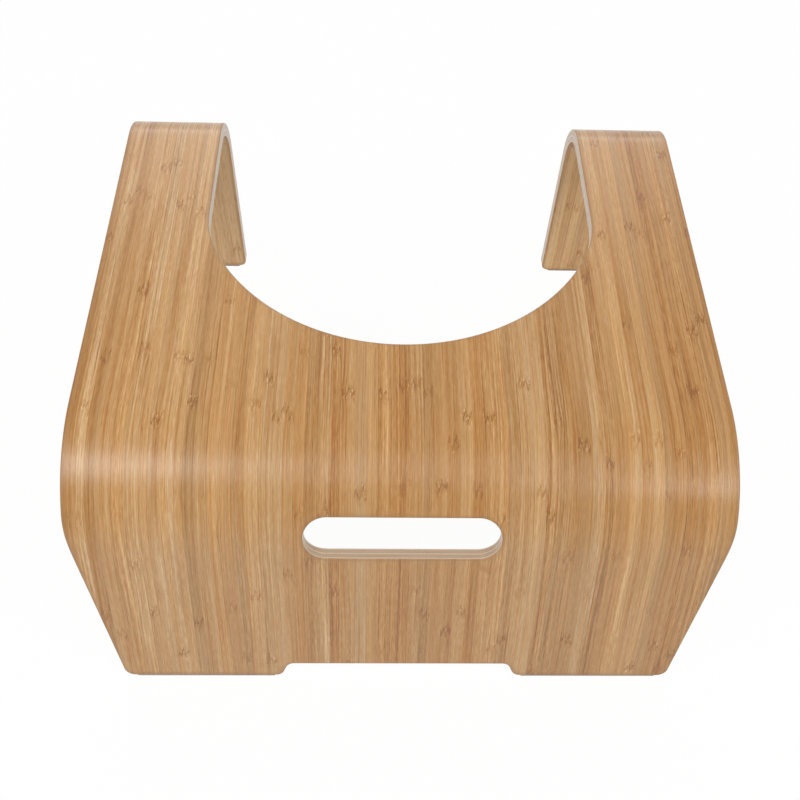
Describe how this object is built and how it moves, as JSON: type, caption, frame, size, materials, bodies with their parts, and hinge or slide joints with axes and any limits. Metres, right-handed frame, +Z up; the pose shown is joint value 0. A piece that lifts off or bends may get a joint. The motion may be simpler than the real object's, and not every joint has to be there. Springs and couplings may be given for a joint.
{
  "type": "bathroom foot stool",
  "caption": "Low bathroom foot stool bent from one bamboo plywood sheet, with a hand slot and a round recess open to the back.",
  "frame": {"origin": "on the floor, at the middle of the stool's footprint", "axes": "+Z up, +Y towards the open side of the recess and the rear legs, +X to the right of someone who faces the hand slot"},
  "size_m": [0.45, 0.4342, 0.1862],
  "materials": {
    "bamboo_face": "satin lacquer",
    "bamboo_end_grain": "sanded and lacquered end grain",
    "bamboo_side_grain": "sanded and lacquered side grain",
    "clear_rubber": "clear and slightly glossy"
  },
  "bodies": {
    "root": {"outer_face_ply": "bamboo_face", "outer_core_ply": "bamboo_end_grain", "middle_core_ply": "bamboo_side_grain", "inner_core_ply": "bamboo_end_grain", "inner_face_ply": "bamboo_face", "front_left_pad": "clear_rubber", "front_right_pad": "clear_rubber", "rear_left_pad": "clear_rubber", "rear_right_pad": "clear_rubber"}
  },
  "joints": []
}
